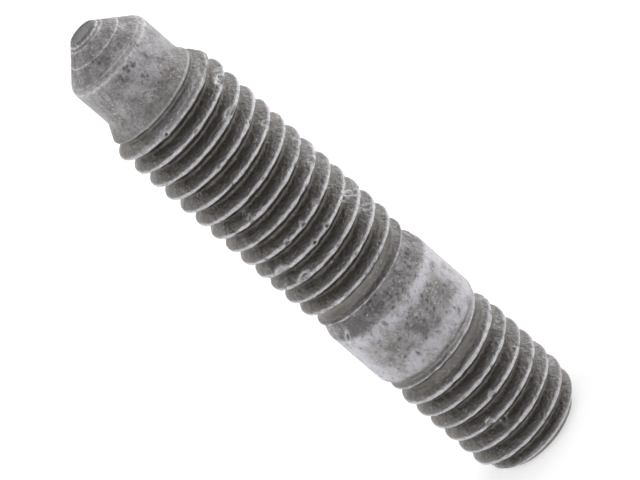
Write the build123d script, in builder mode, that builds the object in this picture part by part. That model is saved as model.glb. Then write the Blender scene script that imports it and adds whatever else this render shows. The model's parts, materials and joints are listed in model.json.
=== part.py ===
import os
from math import atan, ceil, degrees, radians, tan

from build123d import *

os.makedirs("parts", exist_ok=True)

# ---------------------------------------------------------------------------
# Exhaust manifold stud, one piece of steel, millimetres.
# Origin: centre of the flat end face of the short thread.  +Z: along the axis
# towards the dog point.  The stud stands on its flat end.
# ---------------------------------------------------------------------------

# M8 x 1.25 thread, right hand, the same size at both ends: 60 degree flanks
# that meet in a crest and close into a blunt root
THREAD_DIAMETER = 7.82
PITCH = 1.25
THREAD_ANGLE = 60.0
FLANK_DEPTH = 0.31 * PITCH
THREAD_DEPTH = 0.6 * PITCH

# the blank stands this far above the crests before its threads are cut
CREST_STOCK = 0.02

# run-outs beside the collar: how far the last turns reach towards its edges
# before their groove starts to fade, and how it fades
SHORT_RUNOUT = 1.17
LONG_RUNOUT = 0.5
RUNOUT_TURNS = 0.75
RUNOUT_RISE = 0.85 * THREAD_DEPTH

# the blank tapers beside the collar: gently below it, and to a neck above it
SHORT_TAPER = 1.22
LONG_NECK = 0.72
LONG_TAPER = 0.4

# short thread: its chamfered end, and its length up to the collar's side
END_CHAMFER = 0.95
SHORT_THREAD = 9.22

# collar between the threads: a steep side below, a gentle one above
COLLAR_DIAMETER = 7.9
COLLAR_LENGTH = 4.14
COLLAR_FOOT_DEPTH = 0.26
COLLAR_SIDE_BELOW = 0.76
COLLAR_SIDE_ABOVE = 1.66

# long thread: its length from the collar's side up to its lead-in cone
LONG_THREAD = 16.02
LEAD_IN_LENGTH = 1.72

# dog point: a plain pilot with a cone and a small flat nose
DOG_DIAMETER = 5.9
DOG_LENGTH = 2.88
NOSE_DIAMETER = 1.76
NOSE_CONE_ANGLE = 90.0

# a height at which each thread's groove crosses the +X side
SHORT_GROOVE_PHASE = 0.215
LONG_GROOVE_PHASE = 0.34

# radii
thread_r = THREAD_DIAMETER / 2
blank_r = thread_r + CREST_STOCK
root_r = thread_r - THREAD_DEPTH
foot_r = thread_r - COLLAR_FOOT_DEPTH
collar_r = COLLAR_DIAMETER / 2
dog_r = DOG_DIAMETER / 2
nose_r = NOSE_DIAMETER / 2

# how far a thread flank runs along the axis for each millimetre of depth
flank_run = tan(radians(THREAD_ANGLE / 2))

# heights along the axis
collar_foot_z = SHORT_THREAD
collar_low_z = collar_foot_z + COLLAR_SIDE_BELOW
collar_high_z = collar_low_z + COLLAR_LENGTH
collar_top_z = collar_high_z + COLLAR_SIDE_ABOVE
lead_in_z = collar_top_z + LONG_THREAD
dog_z = lead_in_z + LEAD_IN_LENGTH
cone_z = dog_z + DOG_LENGTH
nose_z = cone_z + (dog_r - nose_r) / tan(radians(NOSE_CONE_ANGLE / 2))

# half widths of the thread's groove at the foot of its flanks, and of its
# cutting shape, which reaches past the blank
flank_foot_half = PITCH / 2 - FLANK_DEPTH * flank_run
cutter_half = PITCH / 2 + 2 * CREST_STOCK * flank_run
cutter_r = thread_r + 2 * CREST_STOCK

# the full groove stops where its run-out starts and runs on past its other end
half_turn = PITCH / 2
short_top_z = collar_foot_z - SHORT_RUNOUT
long_start_z = collar_top_z + LONG_RUNOUT
short_cuts = ceil((short_top_z + PITCH) / half_turn)
long_cuts = ceil((dog_z - long_start_z) / half_turn)
short_heights = [short_top_z - (cut + 1) * half_turn for cut in range(short_cuts)]
long_heights = [long_start_z + cut * half_turn for cut in range(long_cuts)]

# a run-out leaves the stud along a cone
runout_height = RUNOUT_TURNS * PITCH
runout_angle = degrees(atan(RUNOUT_RISE / runout_height))


def screwed_to(height, phase):
    """The place of a groove cut that starts at this height on its thread."""
    return Location((0, 0, height), (0, 0, 360 * (height - phase) / PITCH))


# end for end, a right-hand groove stays right-handed
turned_over = Location((0, 0, 0), (180, 0, 0))


def groove_section():
    """The section of the thread's groove, in the plane that its helix starts from."""
    with BuildSketch(Plane.XZ) as section:
        with BuildLine():
            Polyline(
                (root_r, 0),
                (thread_r - FLANK_DEPTH, -flank_foot_half),
                (cutter_r, -cutter_half),
                (cutter_r, cutter_half),
                (thread_r - FLANK_DEPTH, flank_foot_half),
                close=True,
            )
        make_face()
    return section.sketch


# half a turn of the full groove
with BuildPart() as groove_cut:
    with BuildLine():
        Helix(PITCH, half_turn, root_r)
    add(groove_section())
    sweep(is_frenet=True)

# the run-out: the groove climbs out of the stud as it goes round
with BuildPart() as runout_cut:
    with BuildLine():
        Helix(PITCH, runout_height, root_r, cone_angle=runout_angle)
    add(groove_section())
    sweep(is_frenet=True)

with BuildPart() as stud:
    # the turned blank: half its section, spun about the axis
    with BuildSketch(Plane.YZ):
        with BuildLine():
            Polyline(
                (0, 0),
                (blank_r - END_CHAMFER, 0),
                (blank_r, END_CHAMFER),
                (blank_r, collar_foot_z - SHORT_TAPER),
                (foot_r, collar_foot_z),
                (collar_r, collar_low_z),
                (collar_r, collar_high_z),
                (foot_r, collar_top_z),
                (foot_r, collar_top_z + LONG_NECK),
                (blank_r, collar_top_z + LONG_NECK + LONG_TAPER),
                (blank_r, lead_in_z),
                (dog_r, dog_z),
                (dog_r, cone_z),
                (nose_r, nose_z),
                (0, nose_z),
                close=True,
            )
        make_face()
    revolve(axis=Axis.Z)

    # both threads, their grooves cut half a turn at a time
    for height in short_heights:
        with Locations(screwed_to(height, SHORT_GROOVE_PHASE)):
            add(groove_cut.part, mode=Mode.SUBTRACT)
    for height in long_heights:
        with Locations(screwed_to(height, LONG_GROOVE_PHASE)):
            add(groove_cut.part, mode=Mode.SUBTRACT)

    # the run-outs: upwards from the short thread, downwards from the long one
    with Locations(screwed_to(short_top_z, SHORT_GROOVE_PHASE)):
        add(runout_cut.part, mode=Mode.SUBTRACT)
    with Locations(screwed_to(long_start_z, LONG_GROOVE_PHASE) * turned_over):
        add(runout_cut.part, mode=Mode.SUBTRACT)

stud.part.label = "stud"
export_step(stud.part, "parts/stud.step")
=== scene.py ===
import json
from math import cos, pi, radians, sin, tan

import bpy
import numpy as np
from mathutils import Matrix, Vector


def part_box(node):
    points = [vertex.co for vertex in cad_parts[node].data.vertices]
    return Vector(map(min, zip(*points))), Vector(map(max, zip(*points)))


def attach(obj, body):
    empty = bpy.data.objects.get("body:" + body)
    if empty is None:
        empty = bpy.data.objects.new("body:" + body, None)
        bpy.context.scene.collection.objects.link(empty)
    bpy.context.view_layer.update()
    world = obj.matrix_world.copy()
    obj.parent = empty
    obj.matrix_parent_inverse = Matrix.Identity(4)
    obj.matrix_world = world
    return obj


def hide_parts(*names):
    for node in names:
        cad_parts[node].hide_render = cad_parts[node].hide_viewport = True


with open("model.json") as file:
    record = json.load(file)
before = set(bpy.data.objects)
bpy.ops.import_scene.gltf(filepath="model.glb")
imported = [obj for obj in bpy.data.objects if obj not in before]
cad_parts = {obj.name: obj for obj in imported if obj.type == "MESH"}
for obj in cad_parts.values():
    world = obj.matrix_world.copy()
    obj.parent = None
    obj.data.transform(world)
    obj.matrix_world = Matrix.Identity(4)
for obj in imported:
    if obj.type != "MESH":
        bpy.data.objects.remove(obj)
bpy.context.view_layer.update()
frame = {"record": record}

# ---------------------------------------------------------------------------
# Exhaust manifold stud: the worn steel skin over the CAD solid.
# The mesh is worked out in millimetres: z is the height above the flat end,
# phi the angle about the axis, 0 at -Y and growing towards +X.
# ---------------------------------------------------------------------------
MM = 0.001

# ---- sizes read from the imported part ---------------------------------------
MOUNTS = {mount["name"]: mount for mount in frame["record"]["mounts"]}


def pin(name):
    """Radius, lowest and highest z of a round stretch that the record names."""
    mount = MOUNTS[name]
    centre = mount["pos_m"][2] / MM
    half = mount["dims"]["length_mm"] / 2
    return mount["dims"]["r_mm"], centre - half, centre + half


collar_r, collar_low_z, collar_high_z = pin("collar")
dog_r, dog_z, cone_z = pin("dog_point")
nose_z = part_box("stud")[1].z / MM
collar_middle_z = (collar_low_z + collar_high_z) / 2

# ---- sizes of the two threads ----------------------------------------------
PITCH = 1.25
THREAD_R = collar_r
ROOT_DEPTH = 0.8
CREST_HALF = 0.075
ROOT_ROUNDING_BELOW, ROOT_ROUNDING_ABOVE = 0.05, 0.08
SIDE_ROUNDING = 0.12
CREST_ROUNDING = 0.03
FLANK_RUN = tan(radians(30))
SHORT_SEED = 11
LONG_SEED = 23

# wear: how much a crest's width wanders, how much it is nibbled, and how much its height varies
CREST_WANDER, CREST_NIBBLE, CREST_RIPPLE = 0.018, 0.012, 0.006

# the height at which a crest of each thread crosses the front; the others are whole pitches away
SHORT_CREST_Z = 0.55
LONG_CREST_Z = 0.67

# beside the collar each thread's groove opens, fills up and meets the collar's side
SHORT_FADE = 2.2
LONG_FADE = 3.0
FADE_LENGTH = 1.5
FADE_RISE = 0.45
OPENING = 0.15
SIDE_SLOPE_BELOW = 0.55
SIDE_SLOPE_ABOVE = 0.4
short_fade_z = collar_low_z - SHORT_FADE
long_fade_z = collar_high_z + LONG_FADE

# lips where a thread begins, each with a painted highlight along it: the thread's crest height above, turns
# up from there, width, amount; and the height of a full lip
LEAD_IN_LINES = (
    (LONG_CREST_Z, 25.715, 0.055, 1.0),
    (LONG_CREST_Z, 25.30, 0.05, 0.45),
    (LONG_CREST_Z, 25.0, 0.065, 0.95),
    (SHORT_CREST_Z, -0.02, 0.12, 1.6),
)
LIP_HEIGHT = 0.045

# ---- sizes of the blank ----------------------------------------------------
END_CHAMFER = 0.95
LEAD_IN_LENGTH = 1.72
lead_in_z = dog_z - LEAD_IN_LENGTH
nose_r = dog_r - (nose_z - cone_z)

# its tapers beside the collar: how far from the collar, and how deep
TAPER_BELOW = 2.2
FOOT_BELOW, FOOT_BELOW_DEPTH = 0.5, 0.23
FOOT_ABOVE, FOOT_ABOVE_DEPTH = 1.15, 0.2
TAPER_ABOVE = 2.9

# the worn corner between the pilot and the nose cone
CORNER_BELOW, CORNER_ABOVE, CORNER_DEPTH = 0.16, 0.1, 0.1

# a corner is rounded by taking the mean over a short stretch
ROUNDING = (-0.09, -0.045, 0.0, 0.045, 0.09)

# the first turns at the flat end are rubbed down on one side
END_RUBBED = 0.22

# fine rings left by turning on the nose cone: distance below the nose face, height
NOSE_RINGS = ((0.19, 0.016), (0.31, 0.009), (1.03, 0.018), (1.85, 0.007))
RING_WIDTH = 0.035

# ---- fineness of the mesh --------------------------------------------------
COLUMNS = 160
FRONT_SHARE = 0.35
ROWS_PER_TURN = (0, 0.05, 0.085, 0.12, 0.17, 0.24, 0.32, 0.41, 0.5, 0.57)


def smooth_step(value, low, high):
    """0 below low, 1 above high and an even slope between them."""
    t = np.clip((value - low) / (high - low), 0, 1)
    return t * t * (3 - 2 * t)


def fade_out(value, low, high):
    """1 below low, 0 above high and an even slope between them."""
    return smooth_step(-value, -high, -low)


def bump(value, middle, width, power=2):
    """1 in the middle, and next to nothing beyond the width; a higher power has a flatter top."""
    return np.exp(-(((value - middle) / width) ** power))


def soft_min(a, b, width):
    """The lower of two heights, with the corner between them rounded."""
    h = np.clip(0.5 + 0.5 * (b - a) / width, 0, 1)
    return b + (a - b) * h - width * h * (1 - h)


def soft_max(a, b, width):
    """The higher of two heights, with the corner between them rounded."""
    return -soft_min(-a, -b, width)


def waves(seed, count, longest, shortest, along, around):
    """A smooth wandering value about 0, the same on each run, that closes round the axis.

    It is the sum of a number of waves, whose lengths lie between longest and shortest.
    """
    rng = np.random.default_rng(seed)
    total = np.zeros(np.broadcast(along, around).shape)
    for _ in range(count):
        turns = rng.integers(1, int(2 * pi * THREAD_R / shortest))
        length = rng.uniform(shortest, longest)
        total = total + np.sin(2 * pi * along / length + turns * around + rng.uniform(0, 2 * pi))
    return total / count**0.5


# ---- the turned outline ----------------------------------------------------
OUTLINE = (
    (0.0, THREAD_R - END_CHAMFER),
    (END_CHAMFER, THREAD_R),
    (collar_low_z - TAPER_BELOW, THREAD_R),
    (collar_low_z - FOOT_BELOW, THREAD_R - FOOT_BELOW_DEPTH),
    (collar_low_z, collar_r),
    (collar_high_z, collar_r),
    (collar_high_z + FOOT_ABOVE, collar_r - FOOT_ABOVE_DEPTH),
    (collar_high_z + TAPER_ABOVE, THREAD_R),
    (lead_in_z, THREAD_R),
    (dog_z, dog_r),
    (cone_z - CORNER_BELOW, dog_r),
    (cone_z + CORNER_ABOVE, dog_r - CORNER_DEPTH),
    (nose_z, nose_r),
)


def blank_radius(z):
    """The outline of the blank before its threads were rolled."""
    heights = [point[0] for point in OUTLINE]
    radii = [point[1] for point in OUTLINE]
    return sum(np.interp(z + step, heights, radii) for step in ROUNDING) / len(ROUNDING)


# ---- the thread ------------------------------------------------------------
def groove_place(z, phi, crest_z):
    """How far a point lies above the crest below it, and the height of its groove's middle."""
    above = (z - crest_z - PITCH * phi / (2 * pi)) % PITCH
    return above, z - above + PITCH / 2


def opening(z):
    """How much narrower the crests get where a thread fades out beside the collar."""
    below = OPENING * smooth_step(z, short_fade_z + 0.3, collar_low_z - 0.9)
    above = OPENING * fade_out(z, collar_high_z + 1.6, long_fade_z - 0.3)
    return np.where(z < collar_middle_z, below, above)


def groove_radius(z, phi, crest_z, seed, fade, side):
    """A right-hand 60 degree groove between two flat crests that wear has made uneven."""
    above, middle_z = groove_place(z, phi, crest_z)
    uneven = CREST_WANDER * waves(seed, 9, 7, 1.2, z, phi)
    uneven = uneven + CREST_NIBBLE * waves(seed + 5, 9, 4, 0.45, z, phi)
    half = CREST_HALF + uneven - opening(z)
    crest = THREAD_R + CREST_RIPPLE * waves(seed + 1, 9, 7, 0.8, z, phi)
    faded = np.clip(fade(middle_z) / FADE_LENGTH, 0, 1)
    rising = crest - np.maximum(above - half, 0) / FLANK_RUN
    falling = crest - np.maximum(PITCH - above - half, 0) / FLANK_RUN
    root = np.full_like(z, THREAD_R - ROOT_DEPTH) + FADE_RISE * faded
    rising = soft_max(rising, root, ROOT_ROUNDING_BELOW)
    falling = soft_max(falling, root, ROOT_ROUNDING_ABOVE)
    return soft_max(np.maximum(rising, falling), side, SIDE_ROUNDING)


def threaded_radius(z, phi):
    """The blank with both threads in it."""
    side_below = collar_r - SIDE_SLOPE_BELOW * (collar_low_z + 0.02 - z)
    side_above = collar_r - SIDE_SLOPE_ABOVE * (z - collar_high_z - 0.1)
    short = groove_radius(z, phi, SHORT_CREST_Z, SHORT_SEED, lambda m: m - short_fade_z, side_below)
    long = groove_radius(z, phi, LONG_CREST_Z, LONG_SEED, lambda m: long_fade_z - m, side_above)
    groove = np.where(z < collar_middle_z, short, long)
    rubbed = END_RUBBED * fade_out(z, 1.0, 2.6) * np.clip(np.sin(phi), 0, 1) ** 2
    return soft_min(groove, blank_radius(z) - rubbed, CREST_ROUNDING)


# ---- marks of use ----------------------------------------------------------
# each mark: height, angle in degrees, size along the axis, size around, depth, turn in degrees
CREST_MARKS = (
    (32.22, 60, 0.11, 0.20, 0.08, 20),
    (32.05, 47, 0.10, 0.60, 0.05, 0),
    (31.79, -18.5, 0.15, 0.11, 0.22, 30),
    (30.84, 55, 0.20, 0.34, 0.24, 0),
    (30.66, 49, 0.07, 0.15, 0.14, 15),
    (31.02, 60, 0.06, 0.13, 0.12, 0),
    (24.50, -27, 0.08, 0.08, 0.12, 0),
    (24.62, -29.5, 0.07, 0.07, 0.1, 0),
    (24.70, -32, 0.07, 0.07, 0.1, 0),
    (29.52, 34, 0.18, 0.45, 0.24, 6),
    (29.33, 29, 0.07, 0.17, 0.14, 10),
    (28.22, 39, 0.12, 0.12, 0.12, 0),
    (23.12, 27, 0.12, 0.12, 0.1, 0),
    (21.90, 0, 0.14, 0.12, 0.18, 0),
    (21.79, -21, 0.15, 0.14, 0.15, 0),
    (22.00, 24, 0.12, 0.19, 0.1, 25),
    (20.60, -5.2, 0.14, 0.14, 0.22, 0),
    (20.69, 12.5, 0.13, 0.11, 0.16, 0),
    (20.47, -45, 0.18, 0.50, 0.16, 4),
    (19.33, -36, 0.17, 0.42, 0.18, -4),
    (16.90, 3.4, 0.06, 0.10, 0.08, 0),
    (17.64, -42, 0.09, 0.09, 0.07, 0),
    (5.47, -4, 0.20, 0.22, 0.14, 20),
    (4.19, -25.4, 0.21, 0.24, 0.15, -20),
    (3.56, -17, 0.16, 0.20, 0.10, 0),
)
PLAIN_MARKS = (
    (15.80, 13, 0.06, 0.08, 0.05, 0),
    (15.02, 50, 0.06, 0.41, 0.03, 35),
    (13.84, -18.5, 0.25, 0.10, 0.10, 0),
    (14.30, -58, 0.26, 0.09, 0.12, 35),
    (12.22, 44, 0.08, 0.22, 0.03, 0),
    (10.94, -19, 0.22, 0.09, 0.09, -25),
    (9.66, -30, 0.07, 0.07, 0.04, 0),
    (34.42, 38, 0.05, 0.25, 0.05, -35),
)


def small_nicks(seed, count, lowest, highest, sizes, crest_z=None):
    """Seeded nicks over a stretch from one corner to another, or along a thread's crest."""
    rng = np.random.default_rng(seed)
    marks = []
    for _ in range(count):
        height, degrees = rng.uniform(lowest, highest)
        if crest_z is not None:
            turn = round((height - crest_z) / PITCH - degrees / 360)
            height = crest_z + PITCH * (turn + degrees / 360) + rng.normal(0, 0.04)
        size = rng.uniform(*sizes)
        marks.append((height, degrees, size, size * rng.uniform(0.8, 2), 0.7 * size, rng.uniform(-40, 40)))
    return tuple(marks)


ALL_MARKS = (
    CREST_MARKS
    + PLAIN_MARKS
    # both threads' crests all round, then more of them on the edges that the front view shows
    + small_nicks(5, 80, (17.0, -180), (31.6, 180), (0.04, 0.1), LONG_CREST_Z)
    + small_nicks(17, 16, (15.6, -60), (17.4, 75), (0.05, 0.11), LONG_CREST_Z)
    + small_nicks(6, 30, (1.2, -180), (8.0, 180), (0.04, 0.1), SHORT_CREST_Z)
    + small_nicks(7, 26, (20.0, 45), (32.0, 90), (0.07, 0.14), LONG_CREST_Z)
    + small_nicks(8, 8, (17.5, 50), (24.0, 85), (0.1, 0.2))
    # the collar
    + small_nicks(9, 90, (10.0, -180), (15.6, 180), (0.04, 0.09))
    # four clusters of pits on the front of the pilot
    + small_nicks(10, 12, (35.7, -2), (36.1, 14), (0.06, 0.11))
    + small_nicks(11, 9, (34.6, 6), (35.0, 17), (0.06, 0.11))
    + small_nicks(12, 5, (35.6, -14), (36.1, -8), (0.05, 0.08))
    + small_nicks(13, 5, (36.2, 22), (36.4, 34), (0.05, 0.08))
    # the right edge of the long thread's first turn and of the short thread, and the dog point
    + small_nicks(15, 9, (31.8, 46), (32.5, 74), (0.05, 0.13))
    + small_nicks(16, 22, (2.0, 45), (8.5, 95), (0.06, 0.14))
    + small_nicks(14, 50, (33.5, -180), (37.8, 180), (0.02, 0.05))
)


def dent(z, phi, mark):
    """How much painted shade a point gets inside one mark, how much painted highlight on its rim, and how
    far the mark sinks it.
    """
    height, degrees, along, around, depth, turn = mark
    angle = (phi - radians(degrees) + pi) % (2 * pi) - pi
    x, y = z - height, angle * THREAD_R
    c, s = cos(radians(turn)), sin(radians(turn))
    q = np.sqrt(((x * c + y * s) / along) ** 2 + ((y * c - x * s) / around) ** 2)
    inside = np.exp(-(q**6))
    width = max(0.26, 0.06 / min(along, around))
    rim = bump(q - 1, width, width)
    # a deep narrow mark gets painted shade inside, a wide one shows its floor; a shallow one has no painted
    # highlight on its rim
    pit_shade = min(1, 2 * depth / (along + around), 0.13 * depth / (along * around))
    rim_highlight = min(1, max(0, depth - 0.05) / 0.08)
    return pit_shade * inside, rim_highlight * rim, depth * (inside - 0.15 * rim)


def marks_at(z, phi):
    """How much painted shade each point gets inside a mark, how much painted highlight on its rim, and how
    far the marks sink it.
    """
    share = np.zeros_like(z)
    rim_highlights = np.zeros_like(z)
    sunk = np.zeros_like(z)
    for mark in ALL_MARKS:
        near = np.abs(z - mark[0]) < 2.5 * max(mark[2], mark[3])
        if near.any():
            inside, rim, depth = dent(z[near], phi[near], mark)
            share[near] = np.maximum(share[near], inside)
            rim_highlights[near] = np.maximum(rim_highlights[near], rim)
            sunk[near] += depth
    return share, rim_highlights, sunk


def lead_in_lines(z, phi):
    """The lips where a thread begins, on the front, and the painted highlight along them."""
    lines = np.zeros_like(z)
    phi = (phi + pi) % (2 * pi) - pi
    shown = smooth_step(np.cos(phi), -0.1, 0.3)
    for crest_z, turns, width, amount in LEAD_IN_LINES:
        away = z - crest_z - PITCH * (turns + phi / (2 * pi))
        lines = np.maximum(lines, amount * shown * bump(away, 0, width))
    return lines


def surface_radius(z, phi):
    """The finished radius at any height and angle, marks and all."""
    radius = threaded_radius(z, phi) - marks_at(z, phi)[2] + LIP_HEIGHT * lead_in_lines(z, phi)
    for below_nose, height in NOSE_RINGS:
        radius = radius + height * bump(z - nose_z, -below_nose, RING_WIDTH)
    return radius


# ---- the grid of rows ------------------------------------------------------
def column_angles():
    """The angle of each column, closer together on the side that shows the finest marks."""
    even = np.linspace(0, 2 * pi, COLUMNS + 1)
    return even - FRONT_SHARE * np.sin(even)


def level_rows(heights):
    """Rows that go round at one height each."""
    return [np.full(COLUMNS + 1, height) for height in heights]


def screwed_rows(low_z, high_z, crest_z):
    """Rows that climb with the thread, held between two heights."""
    climb = PITCH * column_angles() / (2 * pi)
    offsets = sorted([-o for o in ROWS_PER_TURN[1:]] + list(ROWS_PER_TURN))
    first = int((low_z - crest_z) / PITCH) - 2
    last = int((high_z - crest_z) / PITCH) + 2
    rows = []
    for turn in range(first, last):
        for offset in offsets:
            rows.append(np.clip(crest_z + turn * PITCH + offset + climb, low_z, high_z))
    return rows


def spaced(low, high, step):
    """Even heights from low up to high, high left out."""
    count = max(1, round((high - low) / step))
    return [low + (high - low) * i / count for i in range(count)]


def side_rows():
    """Every row of the side, from the flat end up to the rim of the nose."""
    rows = level_rows([0.0, 0.03, 0.07])
    rows += screwed_rows(0.12, collar_low_z - 0.12, SHORT_CREST_Z)
    heights = spaced(collar_low_z - 0.08, collar_low_z + 0.12, 0.05)
    heights += spaced(collar_low_z + 0.12, collar_high_z - 0.12, 0.13)
    heights += spaced(collar_high_z - 0.12, collar_high_z + 0.12, 0.05)
    heights += spaced(collar_high_z + 0.12, collar_high_z + 0.3, 0.06)
    rows += level_rows(heights)
    rows += screwed_rows(collar_high_z + 0.34, dog_z + 0.1, LONG_CREST_Z)
    heights = spaced(dog_z + 0.14, cone_z - 0.26, 0.13)
    heights += spaced(cone_z - 0.26, cone_z + 0.24, 0.045)
    heights += spaced(cone_z + 0.24, nose_z, 0.09)
    for below_nose, _ in NOSE_RINGS:
        heights += [nose_z - below_nose + step for step in (-0.06, -0.035, -0.015, 0, 0.015, 0.035)]
    rows += level_rows(sorted(set(heights + [nose_z])))
    return rows


# the flat end: its rings as shares of its radius; the nose: shares, and how far each is sunk
END_RING_SHARES = (0.0, 0.2, 0.4, 0.6, 0.75, 0.88, 0.96)
TIP_RINGS = ((0.9, 0.0), (0.82, -0.035), (0.7, -0.05), (0.5, -0.05), (0.25, -0.045), (0.0, -0.045))
RIM_ROUNDING = 0.03


def skin_points():
    """Rows of radii and heights from the centre of the flat end to the centre of the nose."""
    phi = column_angles()
    z = np.array(side_rows())
    angle = np.broadcast_to(phi, z.shape)
    r = surface_radius(z, np.array(angle))
    end_r = r[0].mean() - RIM_ROUNDING
    tip_r = r[-1].mean()
    r[0] = end_r
    r[-1] = tip_r - RIM_ROUNDING
    ring = np.ones(COLUMNS + 1)
    bottom = [(end_r * share * ring, 0.0 * ring) for share in END_RING_SHARES]
    top = [(tip_r * share * ring, (nose_z + sunk) * ring) for share, sunk in TIP_RINGS]
    return phi, bottom + list(zip(r, z)) + top


def joined(phi, rows):
    """Merges points that fall on each other; gives the points and the faces' corners."""
    radius = np.array([row[0] for row in rows])
    height = np.array([row[1] for row in rows])
    angle = np.broadcast_to(phi, radius.shape)
    x = radius * np.sin(angle)
    y = -radius * np.cos(angle)
    points = np.stack([x, y, height], axis=-1).reshape(-1, 3)
    keys = np.round(points * 1e5).astype(np.int64)
    _, first, index = np.unique(keys, axis=0, return_index=True, return_inverse=True)
    grid = index.reshape(radius.shape)
    corners = np.stack([grid[:-1, :-1], grid[:-1, 1:], grid[1:, 1:], grid[1:, :-1]], axis=-1)
    faces = []
    for quad in corners.reshape(-1, 4):
        face = list(dict.fromkeys(quad.tolist()))
        if len(face) > 2:
            faces.append(face)
    return points[first], faces


# ---- wear, dirt, painted sheen and painted shade, kept on the points for the material ---
def groove_depth(z, phi):
    """How far the thread is cut in below the blank."""
    return blank_radius(z) - threaded_radius(z, phi)


def crest_wear(z, phi):
    """1 on a crest, less down its flanks and on the thin edges of a crest that tapers off."""
    depth = groove_depth(z, phi)
    beside = np.maximum.reduce([groove_depth(z + step, phi) for step in (-0.6, -0.3, 0.3, 0.6)])
    full = fade_out(z, lead_in_z, lead_in_z + 0.3) * smooth_step(z, 0.7, 1.0)
    top = full * (1 - smooth_step(depth, 0.0, 0.1))
    amount = 0.5 + 0.4 * smooth_step(z, 14, 16)
    thin = amount * (1 - full) * bump(depth, 0.07, 0.045)
    worn = (top + thin) * smooth_step(beside, 0.12, 0.35)
    # the lead-in lines add a painted highlight along the lips
    worn = np.minimum(np.maximum(worn, lead_in_lines(z, phi)), 1)
    # crests are less bright on the -X side, and on the +X side of the short thread
    crest_less_left = 0.3 * smooth_step(-np.sin(phi), 0.5, 0.9)
    crest_less_right = 0.4 * smooth_step(np.sin(phi), 0.6, 0.9) * fade_out(z, 8.0, 9.0)
    return worn * (1 - crest_less_left - crest_less_right) * (1 - 0.85 * marks_at(z, phi)[0])


def faded_root(z, phi):
    """The bare stretch in the bottom of the long thread's last turn, next to the collar."""
    above, middle_z = groove_place(z, phi, LONG_CREST_Z)
    bottom = bump(above, PITCH / 2 + 0.16, 0.15, 4)
    fading = smooth_step((long_fade_z - middle_z) / FADE_LENGTH, 0.1, 0.6)
    return bottom * fading * smooth_step(z, 15.9, 16.1)


# rubbed edges: height, reach along the axis, amount
EDGES = (
    (cone_z - 0.12, 0.1, 0.95),
    (0.02, 0.04, 0.5),
    (nose_z - 0.19, 0.04, 1.3),
    (nose_z - 0.36, 0.03, 0.9),
    (nose_z - 1.03, 0.033, 1.1),
    (nose_z - 1.85, 0.03, 0.75),
)


def edge_wear(z, phi):
    """The rubbed edges of the pilot, the nose's rings and the flat end."""
    drift = 0.03 * waves(61, 8, 6, 0.7, z, phi)
    wear = np.zeros_like(z)
    for height, reach, amount in EDGES:
        wander = drift if reach > 0.04 else 0.1 * drift
        wear = np.maximum(wear, amount * bump(z + wander, height, reach))
    return wear


def recess_depth(z, phi):
    """How far down in a groove a point is, 0 at its rim and 1 at its root, more on the -X side."""
    on_side = smooth_step(z, collar_high_z - 0.1, collar_high_z + 0.1)
    on_side = on_side * fade_out(z, collar_high_z + 1.35, collar_high_z + 1.65)
    more_on_minus_x = 1 + 1.1 * smooth_step(-np.sin(phi), 0.45, 0.8)
    return np.clip(more_on_minus_x * groove_depth(z, phi) / ROOT_DEPTH - 0.5 * on_side, 0, 2)


def painted_sheen(z, phi):
    """Painted sheen: the collar's two bright bands, brighter steel round its sides, and a pale patch of
    painted light on the pilot's lit side.
    """
    drift = 0.14 * waves(41, 9, 5, 1, z, phi)
    # painted sheen: two bright bands on the collar, where it mirrors the bright studio
    upper = smooth_step(z + drift, collar_middle_z + 0.95, collar_middle_z + 1.6)
    lower = 0.75 * fade_out(z - drift, collar_middle_z - 1.15, collar_middle_z - 0.45)
    # painted sheen round the collar's sides
    round_the_sides = 0.85 * fade_out(np.cos(phi), 0.45, 0.75)
    on_collar = smooth_step(z, collar_low_z - 0.05, collar_low_z + 0.2)
    on_collar = on_collar * fade_out(z, collar_high_z - 0.15, collar_high_z + 0.1)
    # painted light: a pale patch on the pilot's lit side
    pale = 0.45 * bump(phi, 0.6, 0.5) * smooth_step(z + drift, dog_z + 0.4, dog_z + 1.1)
    pale = pale * fade_out(z, cone_z - 0.3, cone_z - 0.1)
    return np.maximum(on_collar * np.maximum.reduce([upper, lower, round_the_sides]), pale)


def stain_and_shade(z, phi):
    """The browner stretches: beside the collar, the flat end and the foot of the pilot. Below the collar
    and on the flat end's chamfer the darkening is painted shade, for the shadowed floor those faces mirror;
    the foot of the pilot and the valley above the collar are stained.
    """
    drift = 0.1 * waves(47, 7, 6, 1.2, z, phi)
    wandered = z + drift
    # painted shade on the collar's lower side, which mirrors the shadowed floor
    below = smooth_step(wandered, collar_low_z - 1.7, collar_low_z - 1.0)
    below = below * fade_out(wandered, collar_low_z - 0.25, collar_low_z)
    # painted shade on the flat end's chamfer, which mirrors the shadowed floor
    end = 1 - smooth_step(z + 0.5 * drift, 0.5, 1.1)
    sides = 0.1 + 0.45 * fade_out(np.cos(phi), 0.5, 0.8)
    foot = 0.5 * fade_out(wandered, dog_z - 0.1, dog_z + 0.6)
    foot = foot + sides * fade_out(wandered, dog_z - 0.7, dog_z - 0.3)
    foot = foot * smooth_step(z, lead_in_z - 0.1, lead_in_z + 0.4)
    valley = smooth_step(z, collar_high_z + 1.65, collar_high_z + 1.85)
    valley = valley * fade_out(z, collar_high_z + 2.5, collar_high_z + 3.0)
    return np.maximum.reduce([0.9 * below, 0.95 * end, foot, 0.9 * valley])


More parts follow.
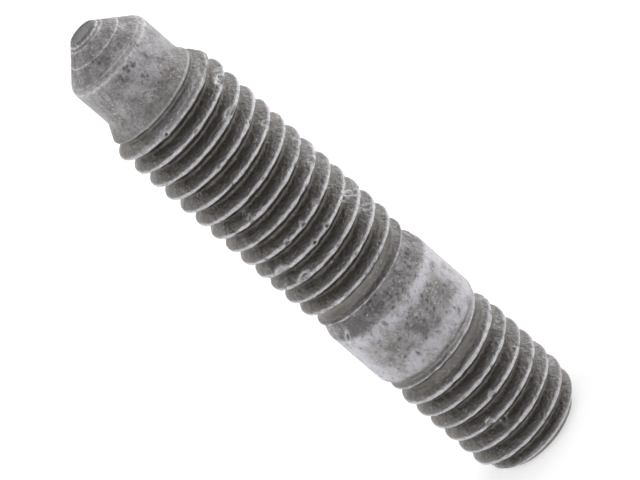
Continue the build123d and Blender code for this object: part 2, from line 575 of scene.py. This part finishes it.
def painted_dark_reflection(z, phi):
    """Painted dark reflections: the collar's upper side, a patch on its front, and the nose cone, darkened
    for the dark front and top of the studio that they mirror.
    """
    drift = 0.09 * waves(53, 9, 6, 0.8, z, phi)
    # painted dark reflection on the collar's upper side, the nose cone and a patch on the collar's front
    above = smooth_step(z + drift, collar_high_z + 0.02, collar_high_z + 0.3)
    above = above * fade_out(z + drift, collar_high_z + 1.5, collar_high_z + 2.4)
    cone = 0.7 * smooth_step(z, cone_z + 0.1, cone_z + 0.25)
    front = 0.75 * bump(z + drift, collar_middle_z, 0.8, 4) * smooth_step(np.cos(phi), 0.6, 0.85)
    return np.maximum.reduce([above, cone, front])


def nose_face(z):
    """1 on the small flat of the nose."""
    return smooth_step(z, nose_z - 0.18, nose_z - 0.14)


SIDE_WEAR_AND_PAINTED_LIGHT = {
    "crest": crest_wear,
    "edge": edge_wear,
    "recess": recess_depth,
    "painted_sheen": painted_sheen,
    "stain_and_shade": stain_and_shade,
    "root": faded_root,
    "painted_dark_reflection": painted_dark_reflection,
}


def store(mesh, name, values):
    """Keeps one number a point on the mesh for the material to read."""
    layer = mesh.attributes.new(name, "FLOAT", "POINT")
    layer.data.foreach_set("value", values.astype(np.float32))


def build_skin():
    """The stud's whole skin as one closed mesh."""
    points, faces = joined(*skin_points())
    mesh = bpy.data.meshes.new("stud_skin")
    mesh.from_pydata((points * MM).tolist(), [], faces)
    mesh.validate()
    mesh.update()
    z = points[:, 2]
    angle = np.arctan2(points[:, 0], -points[:, 1])
    on_side = (z > 0.001) & (z < nose_z - 0.001)
    layers = {name: measure(z, angle) for name, measure in SIDE_WEAR_AND_PAINTED_LIGHT.items()}
    # painted shade inside the marks and painted highlight on their rims
    layers["mark"], layers["rim"], _ = marks_at(z, angle)
    for name, values in layers.items():
        store(mesh, name, np.where(on_side, values, 0.0))
    store(mesh, "nose", nose_face(z))
    for polygon in mesh.polygons:
        polygon.use_smooth = True
    skin = bpy.data.objects.new("stud_skin", mesh)
    bpy.context.scene.collection.objects.link(skin)
    return skin


# ---- material --------------------------------------------------------------
class Nodes:
    """Short ways to add and join the nodes of one material or world."""

    def __init__(self, tree):
        self.tree = tree

    def node(self, kind, **settings):
        made = self.tree.nodes.new(kind)
        for key, value in settings.items():
            setattr(made, key, value)
        return made

    def link(self, source, target):
        self.tree.links.new(source, target)

    def attribute(self, name):
        return self.node("ShaderNodeAttribute", attribute_name=name).outputs["Fac"]

    def noise(self, scale, detail, rough=0.55, place=(0, 0, 0)):
        coordinates = self.node("ShaderNodeTexCoord").outputs["Object"]
        mapping = self.node("ShaderNodeMapping")
        mapping.inputs["Location"].default_value = place
        self.link(coordinates, mapping.inputs["Vector"])
        made = self.node("ShaderNodeTexNoise")
        made.inputs["Scale"].default_value = scale
        made.inputs["Detail"].default_value = detail
        made.inputs["Roughness"].default_value = rough
        self.link(mapping.outputs["Vector"], made.inputs["Vector"])
        return made.outputs["Fac"]

    def math(self, operation, a, b=None, clamp=False):
        made = self.node("ShaderNodeMath", operation=operation, use_clamp=clamp)
        for socket, value in zip(made.inputs, (a, b)):
            if isinstance(value, (int, float)):
                socket.default_value = value
            elif value is not None:
                self.link(value, socket)
        return made.outputs[0]

    def times(self, a, b, clamp=False):
        return self.math("MULTIPLY", a, b, clamp)

    def blend(self, a, share_a, b, share_b):
        """A share of one value and a share of another, added up."""
        return self.math("ADD", self.times(a, share_a), self.times(b, share_b))

    def spread(self, value, low, high, to_low=0.0, to_high=1.0):
        """Maps low to high onto another range, and holds what lies outside to its ends."""
        made = self.node("ShaderNodeMapRange")
        self.link(value, made.inputs["Value"])
        for name, number in zip(("From Min", "From Max", "To Min", "To Max"), (low, high, to_low, to_high)):
            made.inputs[name].default_value = number
        return made.outputs["Result"]

    def mix(self, share, a, b):
        """Colour a where the share is 0, colour b where it is 1."""
        made = self.node("ShaderNodeMix", data_type="RGBA")
        self.link(share, made.inputs["Factor"])
        for socket, value in ((made.inputs[6], a), (made.inputs[7], b)):
            if isinstance(value, tuple):
                socket.default_value = (*value, 1)
            else:
                self.link(value, socket)
        return made.outputs[2]


def new_material(name):
    """A material with its nodes and its shader."""
    material = bpy.data.materials.new(name)
    material.use_nodes = True
    return material, Nodes(material.node_tree), material.node_tree.nodes["Principled BSDF"]


STEEL = (0.52, 0.505, 0.515)
STEEL_DARK = (0.21, 0.202, 0.206)
# painted sheen colour for the collar's bright bands and the pale patch on the pilot
STEEL_SHEEN = (0.65, 0.635, 0.68)
STEEL_WARM = (0.25, 0.225, 0.205)
# painted dark reflection colour
STEEL_DARK_REFLECTION = (0.20, 0.186, 0.193)
CREST = (0.76, 0.75, 0.77)
FLANK = (0.235, 0.225, 0.22)
GRIME = (0.17, 0.155, 0.142)
# the darkest groove colour, reached mostly on the -X side
GROOVE_DARKEST = (0.085, 0.078, 0.072)
BROWN = (0.17, 0.155, 0.14)
NOSE_FACE = (0.19, 0.185, 0.195)
ROOT = (0.24, 0.225, 0.21)
# small pits, and painted shade inside the deeper marks
PIT_AND_SHADE = (0.06, 0.055, 0.052)

ROUGH_LOW, ROUGH_HIGH = 0.3, 0.46
ROUGH_LESS_WHERE_WORN = 0.04
BUMP_DISTANCE = 0.0003


class SteelNoise:
    """The noises that the steel's colour, gloss and bump share, from broad to fine."""

    def __init__(self, n):
        self.broad = n.noise(380.0, 3.0)
        self.warm = n.noise(620.0, 3.0, place=(3, 1, 0))
        self.blotch = n.noise(880.0, 2.0, 0.5, place=(4, 4, 1))
        self.mottle = n.noise(1300.0, 6.0, 0.7)
        self.dents = n.noise(3400.0, 3.0, 0.6)
        self.pits = n.noise(4400.0, 4.0, 0.7, place=(0, 5, 2))
        self.speck = n.noise(4600.0, 4.0, 0.7)
        self.grain = n.noise(5200.0, 4.0, 0.65, place=(2, 8, 1))
        self.flecks = n.noise(5600.0, 4.0, 0.7, place=(7, 2, 4))
        self.mixed = n.blend(self.mottle, 0.68, self.grain, 0.32)
        self.cloudy = n.blend(self.mixed, 0.55, self.blotch, 0.45)


def plain_faces(n, noise):
    """Mottled steel: painted sheen on the collar; painted dark reflections, brown stains, painted shade or
    dark steel in other places.
    """
    base = n.mix(n.spread(noise.mixed, 0.36, 0.6), STEEL_DARK, STEEL)
    base = n.mix(n.spread(noise.warm, 0.5, 0.68, 0.0, 0.7), base, STEEL_WARM)
    # painted sheen: lighter, bluish steel where the collar mirrors the bright studio, and painted light on
    # the pilot
    rubbed = n.times(n.attribute("painted_sheen"), n.spread(noise.cloudy, 0.41, 0.53, 0.3, 1.0), clamp=True)
    base = n.mix(rubbed, base, STEEL_SHEEN)
    # painted dark reflection on the faces that mirror the dark front and top of the studio
    dark_reflection_share = n.times(n.attribute("painted_dark_reflection"), n.spread(noise.cloudy, 0.44, 0.56, 1.1, 0.35))
    dark_reflection_share = n.times(dark_reflection_share, n.spread(noise.broad, 0.4, 0.6, 0.6, 1.1))
    dark_reflection_share = n.times(dark_reflection_share, n.spread(noise.blotch, 0.4, 0.6, 1.25, 0.6), clamp=True)
    base = n.mix(dark_reflection_share, base, STEEL_DARK_REFLECTION)
    # brown stains, and painted shade below the collar and on the end chamfer
    base = n.mix(n.times(n.attribute("stain_and_shade"), n.spread(noise.broad, 0.3, 0.6, 0.6, 0.95)), base, BROWN)
    return n.mix(n.times(n.attribute("nose"), 0.85), base, NOSE_FACE)


def dirty_grooves(n, noise, base, recess):
    """Dirt that gets darker down the grooves, and a bare root beside the collar."""
    base = n.mix(n.spread(recess, 0.02, 0.22), base, FLANK)
    base = n.mix(n.spread(recess, 0.3, 0.8), base, GRIME)
    # darkest deep in the grooves, reached mostly on the -X side
    base = n.mix(n.spread(recess, 1.1, 1.8, 0.0, 0.9), base, GROOVE_DARKEST)
    return n.mix(n.times(n.attribute("root"), n.spread(noise.mixed, 0.35, 0.6, 0.5, 0.9)), base, ROOT)


def pit_share(n, noise, open_face):
    """Where small dark pits show, fewer down in the grooves."""
    pits = n.spread(noise.pits, 0.57, 0.68, 0.0, 0.85)
    return n.times(pits, n.times(open_face, n.spread(noise.broad, 0.42, 0.6, 0.25, 1.0)))


def worn_share(n, noise, open_face):
    """Where the steel is worn bright: crests, edges and flecks; the rims of dents get a painted highlight.
    """
    crest = n.times(n.attribute("crest"), n.spread(noise.speck, 0.36, 0.58, 0.4, 1.0))
    edge = n.times(n.attribute("edge"), n.spread(noise.speck, 0.38, 0.6, 0.15, 0.95))
    # painted highlight on the rims of dents
    rim = n.times(n.attribute("rim"), n.spread(noise.speck, 0.3, 0.5, 0.45, 0.95))
    flecks = n.spread(noise.flecks, 0.57, 0.67, 0.0, 0.9)
    flecks = n.times(flecks, n.times(open_face, n.spread(noise.warm, 0.42, 0.6, 0.25, 1.0)))
    return n.math("MAXIMUM", n.math("MAXIMUM", crest, edge), n.math("MAXIMUM", rim, flecks))


def worn_steel():
    """Dark rolled steel: worn edges, brown-grey dirt in the recesses, pitted faces, and painted sheen,
    painted dark reflections, painted shade and painted highlights.
    """
    material, n, shader = new_material("worn_steel")
    noise = SteelNoise(n)
    recess = n.times(n.attribute("recess"), n.spread(noise.broad, 0.3, 0.65, 0.8, 1.15))
    open_face = n.spread(recess, 0.05, 0.4, 1.0, 0.45)
    pits = pit_share(n, noise, open_face)
    worn = worn_share(n, noise, open_face)

    base = dirty_grooves(n, noise, plain_faces(n, noise), recess)
    # small pits, and painted shade inside the deeper marks
    base = n.mix(n.math("MAXIMUM", pits, n.times(n.attribute("mark"), 0.85)), base, PIT_AND_SHADE)
    n.link(n.mix(worn, base, CREST), shader.inputs["Base Color"])
    shader.inputs["Metallic"].default_value = 1.0
    rough = n.spread(noise.mottle, 0.3, 0.7, ROUGH_LOW, ROUGH_HIGH)
    rough = n.math("SUBTRACT", rough, n.times(worn, ROUGH_LESS_WHERE_WORN))
    n.link(rough, shader.inputs["Roughness"])

    height = n.blend(noise.mottle, 0.5, noise.dents, 0.7)
    height = n.math("ADD", height, n.times(noise.speck, 0.75))
    height = n.math("SUBTRACT", height, n.times(pits, 0.35))
    relief = n.node("ShaderNodeBump")
    relief.inputs["Distance"].default_value = BUMP_DISTANCE
    n.link(n.spread(recess, 0.05, 0.5, 1.0, 0.42), relief.inputs["Strength"])
    n.link(height, relief.inputs["Height"])
    n.link(relief.outputs["Normal"], shader.inputs["Normal"])
    return material


# ---- stage, light and camera -----------------------------------------------
FLOOR_SIZE = 3.0
FLOOR_COLOUR = (0.8, 0.8, 0.8, 1)
FLOOR_GLOW = 0.5

WORLD_LEVEL = 0.62
WORLD_BACK = 0.3
WORLD_SIDES = 0.2

# each lamp: name, place, width, height, watts; both face LAMP_TARGET
LAMP_TARGET = (0, 0, 0.02)
SOFTBOXES = (
    ("softbox_right", (0.34, 0.26, 0.17), 0.45, 0.40, 0.72),
    ("softbox_left", (-0.34, 0.26, 0.13), 0.45, 0.36, 0.2),
)

VIEW_ELEVATION = radians(22.7)
VIEW_ROLL = radians(49.09)
VIEW_DISTANCE = 0.2188
VIEW_LENS = 208.1
AIM_HEIGHT = 18.72 * MM
AIM_RIGHT = 0.13 * MM
AIM_DOWN = 0.07 * MM


def add_floor():
    """A wide pale floor that keeps the shadow and shows as white."""
    mesh = bpy.data.meshes.new("floor")
    size = FLOOR_SIZE
    corners = [(-size, -size, 0), (size, -size, 0), (size, size, 0), (-size, size, 0)]
    mesh.from_pydata(corners, [], [(0, 1, 2, 3)])
    floor = bpy.data.objects.new("floor", mesh)
    bpy.context.scene.collection.objects.link(floor)
    material, n, shader = new_material("floor_white")
    shader.inputs["Base Color"].default_value = FLOOR_COLOUR
    shader.inputs["Roughness"].default_value = 0.9
    shader.inputs["Specular IOR Level"].default_value = 0.0
    shader.inputs["Emission Color"].default_value = (1, 1, 1, 1)
    rays = n.node("ShaderNodeLightPath")
    seen = n.math("MAXIMUM", rays.outputs["Is Camera Ray"], rays.outputs["Is Glossy Ray"])
    n.link(n.times(seen, FLOOR_GLOW), shader.inputs["Emission Strength"])
    mesh.materials.append(material)


def add_world():
    """A plain studio: brighter low down behind the stud and at its sides than in front and above."""
    world = bpy.data.worlds.new("studio")
    world.use_nodes = True
    background = world.node_tree.nodes["Background"]
    background.inputs["Color"].default_value = (1, 1, 1, 1)
    n = Nodes(world.node_tree)
    way = n.node("ShaderNodeSeparateXYZ")
    n.link(n.node("ShaderNodeTexCoord").outputs["Generated"], way.inputs[0])
    low = n.spread(way.outputs["Z"], 0.35, 0.8, 1.0, 0.0)
    back = n.times(n.spread(way.outputs["Y"], -0.1, 0.7), low)
    sides = n.times(n.spread(n.math("ABSOLUTE", way.outputs["X"]), 0.5, 1.0), low)
    light = n.blend(back, WORLD_BACK, sides, WORLD_SIDES)
    n.link(n.math("ADD", light, WORLD_LEVEL), background.inputs["Strength"])
    bpy.context.scene.world = world


def add_softbox(name, place, width, height, power):
    """A large flat lamp that faces the stud."""
    data = bpy.data.lights.new(name, "AREA")
    data.shape = "RECTANGLE"
    data.size = width
    data.size_y = height
    data.energy = power
    lamp = bpy.data.objects.new(name, data)
    lamp.location = place
    lamp.rotation_mode = "QUATERNION"
    lamp.rotation_quaternion = (Vector(LAMP_TARGET) - Vector(place)).to_track_quat("-Z", "Y")
    bpy.context.scene.collection.objects.link(lamp)


def add_camera():
    """A long lens, a little above the stud and rolled so that the stud leans to the left."""
    right = Vector((1, 0, 0))
    up = Vector((0, sin(VIEW_ELEVATION), cos(VIEW_ELEVATION)))
    back = Vector((0, -cos(VIEW_ELEVATION), sin(VIEW_ELEVATION)))
    cam_x = right * cos(VIEW_ROLL) - up * sin(VIEW_ROLL)
    cam_y = right * sin(VIEW_ROLL) + up * cos(VIEW_ROLL)
    data = bpy.data.cameras.new("camera")
    data.lens = VIEW_LENS
    data.sensor_width = 36.0
    data.clip_start = 0.01
    data.clip_end = 10.0
    camera = bpy.data.objects.new("camera", data)
    place = Vector((0, 0, AIM_HEIGHT)) + back * VIEW_DISTANCE - cam_x * AIM_RIGHT + cam_y * AIM_DOWN
    turn = Matrix((cam_x, cam_y, back)).transposed().to_4x4()
    camera.matrix_world = Matrix.Translation(place) @ turn
    bpy.context.scene.collection.objects.link(camera)
    bpy.context.scene.camera = camera


skin = build_skin()
skin.data.materials.append(worn_steel())
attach(skin, "root")
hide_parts("stud")

add_floor()
add_world()
for softbox in SOFTBOXES:
    add_softbox(*softbox)
add_camera()
bpy.context.scene.view_settings.view_transform = "Standard"
